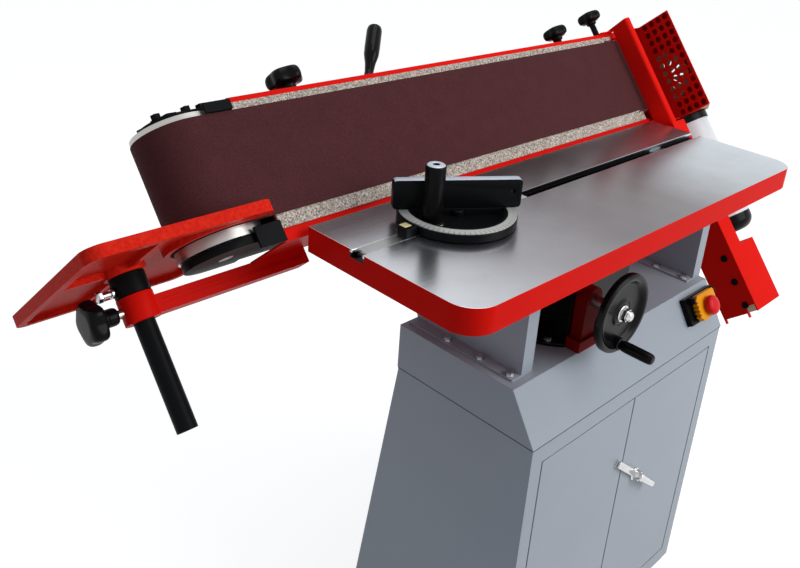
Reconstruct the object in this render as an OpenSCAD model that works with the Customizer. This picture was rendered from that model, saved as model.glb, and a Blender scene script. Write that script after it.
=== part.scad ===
// Edge sander: a belt head that leans on two brackets, a cast table set in height by a handwheel,
// and an end table on a post beside the idler drum.
// Lengths in millimetres. X runs along the belt, Y to the back, Z up from the floor.
// The origin lies on the floor in the middle of the cabinet base.

/* [Table] */
// length of the cast table along the belt
table_len = 850; // [840:1:855]
// depth of the table from its front edge to the belt
table_dep = 295; // [285:1:297]
// height of the table face above the floor
table_top = 810; // [805:1:830]
// height of the table rim
table_rim = 37; // [34:1:40]
// radius of the two front table corners
table_corner = 40; // [20:1:60]

/* [Belt head] */
// width of the sanding belt
belt_w = 150; // [148:1:152]
// length of the sanding belt around its outside
belt_len = 2260; // [2250:1:2270]
// radius of the belt where it wraps the drums
wrap_r = 60; // [58:0.5:61]
// lean of the head from upright
tilt = 39.5; // [0:0.5:90]

/* [Cabinet] */
// width of the cabinet
cab_w = 530; // [524:1:536]
// depth of the cabinet at the floor
cab_dep = 346; // [340:1:356]
// thickness of the cabinet sheet
cab_sheet = 2; // [1.5:0.1:3]
// height of the cabinet top above the floor
cab_top = 615; // [610:1:618]

/* [Handwheel] */
// outer radius of the handwheel
wheel_r = 61; // [58:1:66]

/* [Mitre gauge] */
// width of the slot in the table
slot_w = 19; // [17:0.5:22]
// length of the mitre fence
fence_len = 183; // [150:1:200]
// turn of the fence away from the slot
fence_turn = 32.5; // [30:0.5:90]

/* [End table] */
// size of the end table along the belt
end_len = 250; // [240:1:260]
// size of the end table from front to back
end_dep = 318; // [300:1:330]
// radius of the end table post
post_r = 13.5; // [12:0.5:15]

/* [Hidden] */
$fn = 64;
fit = 0.05;
table_front = -175;
table_low = table_top - table_rim;
slot_y = 23;
slot_deep = 9.5;

// Cabinet
cab_front = -cab_dep / 2;
cab_back = cab_dep / 2;
foot_h = 14;
crease_z = cab_top - 75;
hood_front = cab_front + 47;
hood_back = cab_back - 80;
hood_lap = 1.5;
panel_lean = atan2(hood_front - cab_front, cab_top - crease_z);
door_low = 45;
door_high = crease_z - 34;
door_edge = cab_w / 2 - 28;
door_deep = 20;
door_gap = 2.5;
hinge_r = 3.5;
hinge_x = door_edge - 9;
hinge_y = cab_front + 10;
latch_x = 50;
latch_z = 331;
latch_lean = 40;
anchor_x = cab_w / 2 - 30;
anchor_y = cab_dep / 2 - 30;
anchor_r = 5.5;
stop_at = [214, 52];
start_x = 193;
flap_pin = [-18, 72];

// Tilt pivot and the place of the belt beside it
pivot_y = 150;
pivot_z = table_top - 15;
pivot_r = 8;
belt_ahead = 23;
belt_low = 21.5;
bracket_x = [-233, 243];
bracket_t = 5;
bracket_w = 24;
bracket_front = -114;
bracket_foot = 3;

// Belt run
belt_t = 1.2;
drum_r = wrap_r - belt_t - fit;
drive_x = 427;
idler_x = drive_x - (belt_len - 2 * PI * wrap_r) / 2;
frame_left = -457;
frame_top = belt_w + 18.7;
frame_low = -38;
sheet = 3;
platen_y = belt_t + 0.3;
wall_y = platen_y + 3;
flange_back = 2 * wrap_r - 15;
shaft_r = 10;
bearing_r = 23.5;
bearing_t = 11;
yoke_low = -27;

// Motor drive under the head
motor_x = 350;
motor_y = 196;
motor_r = 68;
pulley_r = 30;
pulley_h = 8;
pulley_low = frame_low - 1 - pulley_h;
v_belt_h = 5.2;
cover_low = frame_low - 10.5;
cover_gap = pulley_r + 3;

// Controls on top of the head
tracking_at = [-331, 37];
lever_at = [-226, 30, 115];
lever_lean = 34.5;
stop_knob_at = [284, 15];
guard_knob_at = [420, 22];
stem_r = 6;

// Right-hand hood, stop and duct
stop_x = 442;
stop_out = 40;
grille_x = 542;
grille_out = 73;
hood_x = 640;
hood_low = -39;
vent_y = 45;
vent_z = 62;
vent_r = 48;
port_x = 589;
port_y = 28;
port_r = 50;
port_wall = 2.2;
pipe_low = -266;
spigot_low = -300;
duct_right = 537;
duct_low = -447;
duct_half = 39;
duct_notch = -318;

// Height drive under the table
wheel_x = -91;
wheel_y = -172;
wheel_z = table_top - 117;
stub_r = 6;
pinion_r = 14;
rack_t = 2.7;
column_r = 30;
post_x = wheel_x + pinion_r + 0.3 + rack_t + column_r;
post_y = -20;
column_low = table_low - 133;
housing_top = cab_top + 138;
housing_foot = 6;
housing_foot_r = 116;

// Mitre gauge
mitre_x = -243;
mitre_r = 84;
mitre_low = table_top + 0.3;
mitre_t = 14;
lock_arm = 50;
fence_t = 14;
fence_h = 42;
bar_len = 318;
bar_left = -416;

// End table
end_left = -718;
end_front = -30;
end_top = 17;
end_rim = 16;
post_at = [-627, 105];
collar_low = -30;
boss_low = -64;
hub_low = -2;
post_low = -210;

cabinet_grey = "#A4A9B1";
cast_red = "#E0271C";
tool_black = "#1B1B1D";
steel_grey = "#BDBFC2";
pipe_grey = "#DADCDE";
zinc_grey = "#CBCDD0";

// Shared forms

// Places its children in the frame of the belt: X along it, Y behind it, Z across its width.
module head() {
    translate([0, pivot_y, pivot_z])
        rotate([-tilt, 0, 0])
            translate([0, -belt_ahead, belt_low])
                children();
}

// Places its children on the sloping panel: Z up the slope from the crease, Y into the cabinet.
module on_panel() {
    translate([0, cab_front - hood_lap, crease_z])
        rotate([-panel_lean, 0, 0])
            children();
}

// Extrudes an outline drawn in Y and Z along X, starting at x.
module along_x(x, length) {
    translate([x, 0, 0])
        rotate([90, 0, 90])
            linear_extrude(length)
                children();
}

// Rod along X.
module rod_x(r, length) {
    rotate([0, 90, 0])
        cylinder(r = r, h = length);
}

// Rod along Y.
module rod_y(r, length) {
    rotate([-90, 0, 0])
        cylinder(r = r, h = length);
}

// Box between two opposite corners.
module block(low, high) {
    translate(low)
        cube(high - low);
}

// Ring with its lower face on z = 0.
module ring(outer, inner, h) {
    difference() {
        cylinder(r = outer, h = h);
        translate([0, 0, -1])
            cylinder(r = inner, h = h + 2);
    }
}

// Rectangle with its low corner at the origin and round corners.
module round_rect(w, d, r) {
    translate([r, 0])
        square([w - 2 * r, d]);
    translate([0, r])
        square([w, d - 2 * r]);
    for (x = [r, w - r])
        for (y = [r, d - r])
            translate([x, y])
                circle(r);
}

// Star knob with five lobes on a plain hub, standing on z = 0.
module lobed_knob(r, h) {
    lobe_r = r * 0.36;
    cylinder(r = r * 0.72, h = h);
    for (k = [0 : 4])
        rotate(72 * k)
            translate([r - lobe_r, 0, h * 0.2])
                cylinder(r = lobe_r, h = h * 0.7);
    translate([0, 0, -h * 0.25])
        cylinder(r = r * 0.42, h = h * 0.3);
}

// Hexagon bolt head of width across corners 2 r, standing on z = 0.
module bolt_head(r, h) {
    cylinder(r = r * 1.25, h = 1.2);
    translate([0, 0, 1.2])
        cylinder(r = r, h = h, $fn = 6);
}

// Outline of the loop that a belt of this radius follows over the two drums.
module belt_outline(r) {
    for (x = [idler_x, drive_x])
        translate([x, wrap_r])
            circle(r);
    translate([idler_x, wrap_r - r])
        square([drive_x - idler_x, 2 * r]);
}

// Cabinet

module shell_profile(inset) {
    lean = (cab_back - hood_back) / (crease_z - foot_h);
    polygon([
        [cab_front + inset, foot_h + inset],
        [cab_front + inset, crease_z],
        [hood_back - inset, crease_z],
        [cab_back - inset - lean * inset, foot_h + inset]
    ]);
}

module cabinet_shell() {
    color(cabinet_grey)
        difference() {
            union() {
                difference() {
                    along_x(-cab_w / 2, cab_w)
                        shell_profile(0);
                    translate([0, 0, 0.01])
                        along_x(-cab_w / 2 + cab_sheet, cab_w - 2 * cab_sheet)
                            shell_profile(cab_sheet);
                    block([-door_edge - door_gap, cab_front - 1, door_low - door_gap],
                          [door_edge + door_gap, cab_front + 6, door_high + door_gap]);
                }
                for (side = [-1, 1])
                    for (z = [door_low - door_gap - 4, door_high + door_gap])
                        block([side * hinge_x - 12, cab_front + cab_sheet, z],
                              [side * hinge_x + 12, cab_front + 22, z + 4]);
            }
            for (side = [-1, 1])
                translate([side * hinge_x, hinge_y, door_low - 20])
                    cylinder(r = hinge_r, h = door_high - door_low + 40);
            for (x = [-anchor_x, anchor_x])
                for (y = [-anchor_y, anchor_y])
                    translate([x, y, foot_h - 1])
                        cylinder(r = anchor_r, h = cab_sheet + 2);
        }
}

module hood_profile(inset) {
    slope = (hood_front - cab_front) / (cab_top - crease_z);
    polygon([
        [cab_front - hood_lap + inset, crease_z],
        [hood_front - hood_lap + inset - slope * inset, cab_top - inset],
        [hood_back + hood_lap - inset, cab_top - inset],
        [hood_back + hood_lap - inset, crease_z]
    ]);
}

module cabinet_hood() {
    wide = cab_w + 2 * hood_lap;
    color(cabinet_grey)
        difference() {
            along_x(-wide / 2, wide)
                hood_profile(0);
            translate([0, 0, -0.01])
                along_x(-wide / 2 + cab_sheet, wide - 2 * cab_sheet)
                    hood_profile(cab_sheet);
        }
}

module cabinet_feet() {
    color(cabinet_grey)
        for (x = [-anchor_x, anchor_x])
            for (y = [-anchor_y, anchor_y])
                translate([x, y, 0])
                    difference() {
                        block([-25, -25, 0], [25, 25, foot_h]);
                        translate([0, 0, -1])
                            cylinder(r = anchor_r, h = foot_h + 2);
                    }
}

// Standing bracket: a plate with a front flange, a foot flange and an ear for the tilt pin.
module bracket(x) {
    rise = cab_top + 137;
    color(cabinet_grey) {
        along_x(x, bracket_t)
            difference() {
                union() {
                    polygon([
                        [bracket_front, cab_top],
                        [hood_back - 3, cab_top],
                        [pivot_y + 12, pivot_z - 7],
                        [pivot_y - 11, pivot_z - 9],
                        [pivot_y - 14, pivot_z - 21],
                        [pivot_y - 30, pivot_z - 33],
                        [40, rise],
                        [bracket_front, rise]
                    ]);
                    translate([pivot_y, pivot_z])
                        circle(14);
                }
                translate([pivot_y, pivot_z])
                    circle(pivot_r + fit);
            }
        block([x, bracket_front, cab_top], [x + bracket_w, bracket_front + bracket_t, rise]);
        block([x - 20, bracket_front, cab_top], [x, hood_back - 3, cab_top + bracket_foot]);
    }
}

module left_bracket() {
    bracket(bracket_x[0]);
}

module right_bracket() {
    bracket(bracket_x[1]);
}

// Bolts in the feet of the brackets and of the column housing.
module bracket_bolts() {
    color(zinc_grey) {
        for (x = bracket_x)
            for (y = [-102, -48, 15])
                translate([x - 12, y, cab_top + bracket_foot])
                    bolt_head(6, 4);
        for (turn = [35, 145, 215, 325])
            translate([post_x, post_y, cab_top + housing_foot])
                rotate(turn)
                    translate([housing_foot_r - 10, 0, 0])
                        bolt_head(6, 4);
    }
}

module hinge_pins() {
    color(steel_grey)
        for (side = [-1, 1])
            translate([side * hinge_x, hinge_y, door_low - 6])
                cylinder(r = hinge_r, h = door_high - door_low + 12);
}

// Folded door pan hung on the left. The right door is its mirror image.
module door() {
    difference() {
        union() {
            block([-door_edge, cab_front, door_low], [-door_gap / 2, cab_front + cab_sheet, door_high]);
            for (z = [door_low, door_high - cab_sheet])
                block([-door_edge + 16, cab_front, z], [-door_gap / 2, cab_front + door_deep, z + cab_sheet]);
            block([-door_gap / 2 - cab_sheet, cab_front, door_low],
                  [-door_gap / 2, cab_front + door_deep, door_high]);
            translate([-hinge_x, hinge_y, door_low])
                cylinder(r = hinge_r + 2.5, h = door_high - door_low);
            block([-hinge_x - 2, cab_front, door_low], [-hinge_x + 2, hinge_y, door_high]);
        }
        translate([-hinge_x, hinge_y, door_low - 1])
            cylinder(r = hinge_r + fit, h = door_high - door_low + 2);
    }
}

module left_door() {
    color(cabinet_grey)
        door();
}

module right_door() {
    color(cabinet_grey)
        difference() {
            mirror([1, 0, 0])
                door();
            translate([latch_x, cab_front - 1, latch_z])
                rod_y(7 + fit, cab_sheet + 2);
        }
}

// Turn handle on a spindle, with a flat tail that laps the left door while the latch is shut.
module door_latch() {
    color(steel_grey)
        translate([latch_x, cab_front, latch_z]) {
            translate([0, -17, 0])
                rod_y(7, 25);
            translate([0, -3, 0])
                rod_y(12, 2.7);
            translate([0, cab_sheet + 1, 0])
                rod_y(11, 3);
            rotate([0, latch_lean, 0]) {
                translate([0, -13, 0])
                    rod_x(6.5, 60);
                block([-92, -7, -6.5], [0, -3.3, 6.5]);
            }
        }
}

// Rub plate on the left door under the tail of the latch.
module latch_keeper() {
    color(steel_grey)
        translate([latch_x, cab_front, latch_z])
            rotate([0, latch_lean, 0])
                block([-94, -2.8, -6], [-72, 0, 6]);
}

// Switch

module switch_base() {
    color(tool_black)
        on_panel()
            difference() {
                union() {
                    block([168, -10.5, 31], [258, 0, 78]);
                    for (x = [176.5, 244])
                        block([x, -23, 66], [x + 3.5, -10, 77]);
                    translate([176.5, flap_pin[0], flap_pin[1]])
                        rod_x(2, 71);
                }
                block([184, -12, 36], [238, -3, 64]);
                translate([start_x, -4, stop_at[1]])
                    rod_y(7 + fit, 6);
            }
}

module switch_flap() {
    color("#F0A41C")
        on_panel()
            difference() {
                block([181, -23, 33], [243, -13, 77]);
                translate([stop_at[0], -30, stop_at[1]])
                    rod_y(9 + fit, 24);
                translate([170, flap_pin[0], flap_pin[1]])
                    rod_x(2 + fit, 90);
            }
}

module stop_button() {
    color("#DD1F1F")
        on_panel()
            translate([stop_at[0], 0, stop_at[1]]) {
                translate([0, -26, 0])
                    rod_y(9, 12);
                translate([0, -38, 0])
                    rod_y(17, 12);
            }
}

module start_button() {
    color("#2E9E4B")
        on_panel()
            translate([start_x, -10, stop_at[1]])
                rod_y(7, 7.5);
}

// Height drive

module column_housing() {
    color(tool_black)
        difference() {
            union() {
                block([-118, -105, cab_top], [30, 40, housing_top]);
                intersection() {
                    translate([post_x, post_y, cab_top])
                        cylinder(r = housing_foot_r, h = housing_foot);
                    translate([-300, -105, cab_top])
                        cube([600, 195, housing_foot]);
                }
            }
            translate([post_x, post_y, cab_top + 6])
                cylinder(r = column_r + fit, h = 200);
            block([post_x - column_r - rack_t - 0.5, post_y - 7, cab_top + 6],
                  [post_x, post_y + 7, housing_top + 1]);
            block([wheel_x - 22, post_y - 16, wheel_z - 22], [post_x, post_y + 16, wheel_z + 22]);
            translate([wheel_x, -106, wheel_z])
                rod_y(9 + fit, 110);
        }
}

module wheel_bearing() {
    color(cast_red)
        difference() {
            union() {
                block([wheel_x - 29, -130, cab_top], [wheel_x + 29, -105, cab_top + 18]);
                block([wheel_x - 20, -125, cab_top], [wheel_x + 20, -105, wheel_z]);
                translate([wheel_x, -125, wheel_z])
                    rod_y(20, 20);
            }
            translate([wheel_x, -126, wheel_z])
                rod_y(9 + fit, 22);
        }
}

module wheel_shaft() {
    color(steel_grey)
        translate([wheel_x, 0, wheel_z]) {
            translate([0, wheel_y, 0])
                rod_y(9, post_y + 14 - wheel_y);
            translate([0, wheel_y - 6, 0])
                rod_y(stub_r, 10);
            translate([0, post_y - 12, 0])
                rod_y(pinion_r, 24);
        }
}

// Dished wheel: deep rim, thin recessed web, hub on the shaft and a steel pin for the crank grip.
module handwheel() {
    rim_w = 12;
    rim_t = 13;
    crank_at = -wheel_r + 12;
    color(tool_black)
        translate([wheel_x, wheel_y, wheel_z])
            difference() {
                union() {
                    translate([0, -rim_t / 2, 0])
                        rotate([-90, 0, 0])
                            ring(wheel_r, wheel_r - rim_w, rim_t);
                    translate([0, 1, 0])
                        rod_y(wheel_r - rim_w + 1, 5);
                    translate([0, -1, 0])
                        rod_y(17, 24);
                    translate([0, -rim_t / 2 - 2, crank_at])
                        rod_y(10, rim_t + 1);
                    translate([0, -54, crank_at])
                        rod_y(4, 50);
                }
                translate([0, -20, 0])
                    rod_y(9, 60);
            }
}

module hub_nut() {
    color(zinc_grey)
        translate([wheel_x, wheel_y - 1, wheel_z])
            rotate([90, 0, 0])
                difference() {
                    union() {
                        cylinder(r = 13, h = 2.5);
                        translate([0, 0, 2.5])
                            cylinder(r = 10, h = 9, $fn = 6);
                        translate([0, 0, 11.5])
                            cylinder(r = 7.5, h = 6);
                    }
                    translate([0, 0, -1])
                        cylinder(r = stub_r, h = 8);
                }
}

module crank_handle() {
    color(tool_black)
        translate([wheel_x, wheel_y - 62, wheel_z - wheel_r + 12])
            difference() {
                union() {
                    translate([0, 4, 0])
                        rod_y(8.5, 49);
                    rod_y(7, 6);
                }
                translate([0, 7, 0])
                    rod_y(4 + fit, 60);
            }
}

// Round column with a rack strip that the pinion on the wheel shaft lifts.
module table_column() {
    color(steel_grey) {
        translate([post_x, post_y, column_low])
            cylinder(r = column_r, h = table_low - column_low);
        block([post_x - column_r - rack_t, post_y - 6, column_low],
              [post_x - column_r + 2, post_y + 6, table_low - 20]);
        translate([post_x, post_y, table_low - 8])
            cylinder(r = 55, h = 8);
    }
}

// Table

module table_outline() {
    half = table_len / 2;
    translate([-half, table_front + table_corner])
        square([table_len, table_dep - table_corner]);
    translate([-half + table_corner, table_front])
        square([table_len - 2 * table_corner, table_corner]);
    for (x = [-half + table_corner, half - table_corner])
        translate([x, table_front + table_corner])
            circle(table_corner);
}

module main_table() {
    web = 14;
    rim = 16;
    cells = 4;
    cell = (table_len - 2 * table_corner - (cells + 1) * web) / cells;
    deep = (table_dep - 2 * rim - web) / 2;
    color(cast_red)
        difference() {
            translate([0, 0, table_low])
                linear_extrude(table_rim)
                    table_outline();
            block([-table_len, slot_y - slot_w / 2, table_top - slot_deep],
                  [table_len, slot_y + slot_w / 2, table_top + 1]);
            block([-table_len, slot_y - slot_w / 2 - 2.5, table_top - slot_deep],
                  [table_len, slot_y + slot_w / 2 + 2.5, table_top - slot_deep + 3]);
            difference() {
                for (i = [0 : cells - 1])
                    for (j = [0, 1])
                        translate([-table_len / 2 + table_corner + web + i * (cell + web),
                                   table_front + rim + j * (deep + web), table_low - 1])
                            cube([cell, deep, table_rim - 16 + 1]);
                translate([post_x, post_y, table_low - 2])
                    cylinder(r = 60, h = table_rim);
            }
        }
}

// Mitre gauge

// Places its children on the table over the mitre pivot, square to the slot.
module at_mitre() {
    translate([mitre_x, slot_y, mitre_low])
        children();
}

// Same place, turned with the gauge: X runs along the fence.
module on_mitre() {
    at_mitre()
        rotate(-fence_turn)
            children();
}

module mitre_bar() {
    color(zinc_grey) {
        block([bar_left, slot_y - slot_w / 2 + 0.1, table_top - slot_deep + 0.3],
              [bar_left + bar_len, slot_y + slot_w / 2 - 0.1, table_top]);
        at_mitre() {
            translate([0, 0, -2])
                cylinder(r = 6, h = 14);
            translate([-lock_arm, 0, -2])
                cylinder(r = 4, h = 60);
        }
    }
}

module mitre_body() {
    color(tool_black)
        on_mitre()
            difference() {
                intersection() {
                    cylinder(r = mitre_r, h = mitre_t, $fn = 128);
                    translate([-200, -200, -1])
                        cube([400, 200 + fence_t, 40]);
                }
                translate([0, 0, -1])
                    cylinder(r = 6 + fit, h = 14);
                difference() {
                    translate([0, 0, -1])
                        ring(lock_arm + 5, lock_arm - 5, mitre_t + 2);
                    translate([-200, -8, -2])
                        cube([400, 200, 40]);
                }
                translate([0, 0, mitre_t - 1.5])
                    ring(mitre_r + 1, mitre_r - 14, 3);
            }
}

module mitre_scale() {
    color(zinc_grey)
        on_mitre()
            intersection() {
                translate([0, 0, mitre_t - 1.5])
                    ring(mitre_r - 1, mitre_r - 13.5, 1.5, $fn = 128);
                translate([-200, -200, 0])
                    cube([400, 199.5, 40]);
            }
}

module mitre_fence() {
    color(tool_black)
        on_mitre()
            translate([-fence_len / 2, fence_t, mitre_t])
                rotate([90, 0, 0])
                    linear_extrude(fence_t) {
                        square([fence_len, fence_h / 2]);
                        round_rect(fence_len, fence_h, 6);
                    }
}

module mitre_handle() {
    color(tool_black)
        at_mitre()
            translate([-lock_arm, 0, mitre_t + 0.5])
                difference() {
                    union() {
                        cylinder(r = 15, h = 4);
                        cylinder(r = 12.5, h = 76);
                    }
                    translate([0, 0, -1])
                        cylinder(r = 4 + fit, h = 55);
                }
}

module mitre_pointer() {
    color("#C9C08A")
        at_mitre()
            difference() {
                block([-mitre_r - 22, -9, -0.3], [-mitre_r - 2, 9, 16]);
                block([-mitre_r - 10, -20, 13], [-mitre_r, 20, 17]);
            }
}

// Head frame

module pivot_pins() {
    color(steel_grey)
        for (x = bracket_x)
            translate([x - 13, pivot_y, pivot_z])
                rod_x(pivot_r, 32);
}

// Welded channel behind the platen, with bearing plates at the drive end, a plate for the motor
// and lugs for the tilt pins.
module head_frame() {
    pocket = drum_r + 6;
    color(cast_red)
        head()
            difference() {
                union() {
                    block([frame_left, wall_y, frame_low], [drive_x - pocket, wall_y + sheet, frame_top]);
                    for (z = [frame_low, belt_w + 10.5])
                        block([frame_left, wall_y, z],
                              [stop_x - 2, wall_y + sheet, z == frame_low ? -20 : frame_top]);
                    for (z = [frame_low, frame_top - sheet])
                        block([frame_left, wall_y, z], [drive_x - pocket, flange_back, z + sheet]);
                    block([drive_x - pocket - 1, wall_y, frame_low],
                          [drive_x + 48, flange_back, frame_low + 12]);
                    block([drive_x - pocket - 1, wall_y, frame_top - 12],
                          [drive_x + 48, flange_back, frame_top]);
                    block([drive_x - pocket - 6, wall_y, frame_low],
                          [drive_x - pocket, flange_back, frame_top]);
                    block([motor_x - 75, flange_back - 1, frame_low],
                          [motor_x + 110, motor_y + 75, frame_low + sheet]);
                    for (x = bracket_x)
                        for (lug = [-10, 10])
                            block([x + lug, wall_y, frame_low], [x + lug + 5, belt_ahead + 16, -3]);
                    block([lever_at[0] - 20, 36, lever_at[2] - 15], [lever_at[0] + 20, 46, frame_top - 1]);
                    translate([lever_at[0], 24, lever_at[2]])
                        rod_y(5, 14);
                }
                for (x = bracket_x) {
                    block([x - 4, wall_y + sheet, frame_low - 1],
                          [x + 9, flange_back + 1, frame_low + sheet + 1]);
                    translate([x - 20, belt_ahead, -belt_low])
                        rod_x(pivot_r, 50);
                }
                translate([drive_x, wrap_r, frame_low - 1])
                    cylinder(r = bearing_r, h = 300);
                translate([motor_x, motor_y, frame_low - 10])
                    cylinder(r = 18, h = 20);
                block([lever_at[0] - 75, 20, frame_top - sheet - 1], [lever_at[0] + 75, 40, frame_top + 1]);
                for (at = [tracking_at, stop_knob_at, guard_knob_at])
                    translate([at[0], at[1], frame_top - 13])
                        cylinder(r = stem_r + fit, h = 20);
            }
}

module platen() {
    color(zinc_grey)
        head() {
            block([frame_left, platen_y, -20], [drive_x - 24, wall_y, belt_w + 10.5]);
            block([frame_left, platen_y, -20], [drive_x, wall_y, -3]);
            block([frame_left, platen_y, belt_w + 3], [drive_x, wall_y, belt_w + 10.5]);
        }
}

module sanding_belt() {
    color("#4A2A2C")
        head()
            linear_extrude(belt_w)
                difference() {
                    belt_outline(wrap_r, $fn = 128);
                    belt_outline(wrap_r - belt_t, $fn = 128);
                }
}

// Dark end blocks that close the gap between the platen and the idler rim.
module end_blocks() {
    color("#3A3B3E")
        head()
            for (z = [[-37, -8], [belt_w + 0.6, belt_w + 15]]) {
                block([frame_left - 41, -3.5, z[0]], [frame_left, 1, z[1]]);
                block([frame_left - 2, -3.5, z[0]], [frame_left, wall_y + sheet, z[1]]);
            }
}

// Hexagon bolts down the left wall of the dust duct.
module head_bolts() {
    color(tool_black)
        head()
            for (z = [-332, -381, -430])
                translate([stop_x, -18, z])
                    rotate([0, -90, 0])
                        bolt_head(5.5, 4);
}

// Idler

// Fork that carries the idler shaft; its web slides inside the head frame.
module idler_yoke() {
    arms = [[yoke_low, yoke_low + 11.5, 56], [belt_w + 8, belt_w + 15, 46]];
    color(tool_black)
        head()
            difference() {
                union() {
                    for (z = arms) {
                        block([idler_x, 14, z[0]], [frame_left + 80, 2 * wrap_r - 18, z[1]]);
                        translate([idler_x, wrap_r, z[0]])
                            cylinder(r = z[2], h = z[1] - z[0]);
                        block([idler_x, wrap_r - z[2], z[0]], [frame_left - 16, wrap_r + z[2], z[1]]);
                    }
                    block([frame_left + 58, 20, arms[0][0]], [frame_left + 80, 100, arms[1][1]]);
                    translate([idler_x, wrap_r, belt_w + 15])
                        bolt_head(14, 11);
                    for (spot = [[-30, -24], [-30, 24], [8, -34], [30, -34]])
                        translate([idler_x + spot[0], wrap_r + spot[1], belt_w + 15])
                            bolt_head(7, 7);
                }
                translate([idler_x, wrap_r, -50])
                    cylinder(r = shaft_r, h = 50 + belt_w + 12);
            }
}

module idler_shaft() {
    color(steel_grey)
        head()
            translate([idler_x, wrap_r, yoke_low])
                cylinder(r = shaft_r, h = belt_w + 12 - yoke_low);
}

module idler_bearings() {
    color(steel_grey)
        head()
            for (z = [-13, belt_w + 6 - bearing_t])
                translate([idler_x, wrap_r, z])
                    ring(bearing_r - fit, shaft_r, bearing_t);
}

module idler_drum() {
    low = -14;
    tall = belt_w + 7 - low;
    color(steel_grey)
        head()
            translate([idler_x, wrap_r, low])
                difference() {
                    cylinder(r = drum_r, h = tall, $fn = 128);
                    translate([0, 0, -1])
                        cylinder(r = bearing_r, h = tall + 2);
                    for (z = [-1, tall - 60])
                        translate([0, 0, z])
                            ring(drum_r - 9, bearing_r + 7, 61);
                }
}

// Drive

module drive_bearings() {
    color(steel_grey)
        head()
            for (z = [frame_low + 0.5, frame_top - bearing_t - 0.5])
                translate([drive_x, wrap_r, z])
                    ring(bearing_r, shaft_r + fit, bearing_t);
}

// Grooved pulley for the drive belt, with its lower face on z = 0.
module pulley() {
    groove = v_belt_h + 0.8;
    ring(pulley_r - 8, shaft_r, pulley_h);
    for (z = [0, (pulley_h + groove) / 2])
        translate([0, 0, z])
            ring(pulley_r, shaft_r, (pulley_h - groove) / 2);
}

module drive_shaft() {
    color(steel_grey)
        head()
            translate([drive_x, wrap_r, pulley_low]) {
                cylinder(r = shaft_r, h = frame_top - 0.2 - pulley_low);
                pulley();
            }
}

module drive_drum() {
    tall = belt_w + 2;
    color(steel_grey)
        head()
            translate([drive_x, wrap_r, -1])
                difference() {
                    cylinder(r = drum_r, h = tall, $fn = 128);
                    translate([0, 0, -1])
                        cylinder(r = shaft_r, h = tall + 2);
                    for (z = [-1, tall - 55])
                        translate([0, 0, z])
                            ring(drum_r - 9, shaft_r + 10, 56);
                }
}

module v_belt_outline(r) {
    reach = [drive_x - motor_x, wrap_r - motor_y];
    translate([motor_x, motor_y])
        rotate(atan2(reach[1], reach[0])) {
            for (x = [0, norm(reach)])
                translate([x, 0])
                    circle(r);
            translate([0, -r])
                square([norm(reach), 2 * r]);
        }
}

module v_belt() {
    color("#232325")
        head()
            translate([0, 0, pulley_low + (pulley_h - v_belt_h) / 2])
                linear_extrude(v_belt_h)
                    difference() {
                        v_belt_outline(pulley_r + 0.5);
                        v_belt_outline(pulley_r - 8 + 0.3);
                    }
}

module motor_rotor() {
    color(steel_grey)
        head()
            translate([motor_x, motor_y, pulley_low]) {
                cylinder(r = shaft_r, h = 100);
                pulley();
            }
}

// Flange motor standing on its plate, with cooling ribs, a fan cowl and a terminal box.
module motor_body() {
    ribs = 20;
    color("#5B6066")
        head()
            translate([motor_x, motor_y, frame_low + sheet])
                difference() {
                    union() {
                        cylinder(r = motor_r, h = 14);
                        cylinder(r = motor_r - 9, h = 150);
                        translate([0, 0, 145])
                            cylinder(r = motor_r - 3, h = 45);
                        for (k = [0 : ribs - 1])
                            rotate(360 / ribs * k)
                                block([motor_r - 14, -1.5, 20], [motor_r - 2, 1.5, 140]);
                        block([-35, motor_r - 14, 40], [35, motor_r + 22, 130]);
                    }
                    translate([0, 0, -1])
                        cylinder(r = shaft_r + 0.3, h = 92);
                }
}

// Sheet tray that covers the pulleys from below.
module drive_cover() {
    skin = 1;
    low = [motor_x - cover_gap, wrap_r - cover_gap, cover_low];
    high = [drive_x + cover_gap, motor_y + cover_gap, frame_low];
    color(cast_red)
        head()
            difference() {
                block(low, high);
                block([low[0] + skin, low[1] + skin, low[2] + skin],
                      [high[0] - skin, high[1] - skin, high[2] + 1]);
            }
}

// Right-hand guards

// Plate across the belt that stops the work, with a folded front edge.
module work_stop() {
    foot = 2;
    reach = 34;
    color(cast_red)
        head()
            difference() {
                union() {
                    along_x(stop_x, sheet)
                        polygon([
                            [-stop_out, -48],
                            [-2, -48],
                            [-2, frame_top],
                            [reach, frame_top],
                            [reach, frame_top + foot],
                            [22, frame_top + 5.5],
                            [-stop_out, frame_top + 10]
                        ]);
                    block([stop_x, -stop_out, -48], [stop_x + 13, -stop_out + sheet, frame_top + 10]);
                    block([stop_x - 40, -2, frame_top], [stop_x + sheet, reach, frame_top + foot]);
                }
                translate([guard_knob_at[0], guard_knob_at[1], frame_top - 1])
                    cylinder(r = stem_r + fit, h = foot + 2);
            }
}

module grille() {
    pitch = 17.4;
    hole_r = 6.2;
    columns = 4;
    rows = 12;
    color(cast_red)
        head()
            along_x(grille_x, 2) {
                translate([0, hood_low + 2.1])
                    square([40, frame_top - hood_low - 4.2]);
                difference() {
                    translate([-grille_out, hood_low])
                        square([grille_out, frame_top - hood_low]);
                    for (i = [0 : columns - 1])
                        for (j = [0 : rows - 1])
                            translate([-grille_out / 2 + pitch * (i - (columns - 1) / 2),
                                       (hood_low + frame_top) / 2 + pitch * (j - (rows - 1) / 2)])
                                circle(hole_r, $fn = 24);
                }
            }
}

module hood_outline(inset) {
    polygon([
        [grille_x + 2 + inset, -grille_out + 1.2 * inset],
        [hood_x - inset, -12 + inset * 0.6],
        [hood_x - inset, 128 - inset],
        [500 - inset, 128 - inset],
        [500 - inset, 0],
        [grille_x + 2 + inset, 0]
    ]);
}

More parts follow.
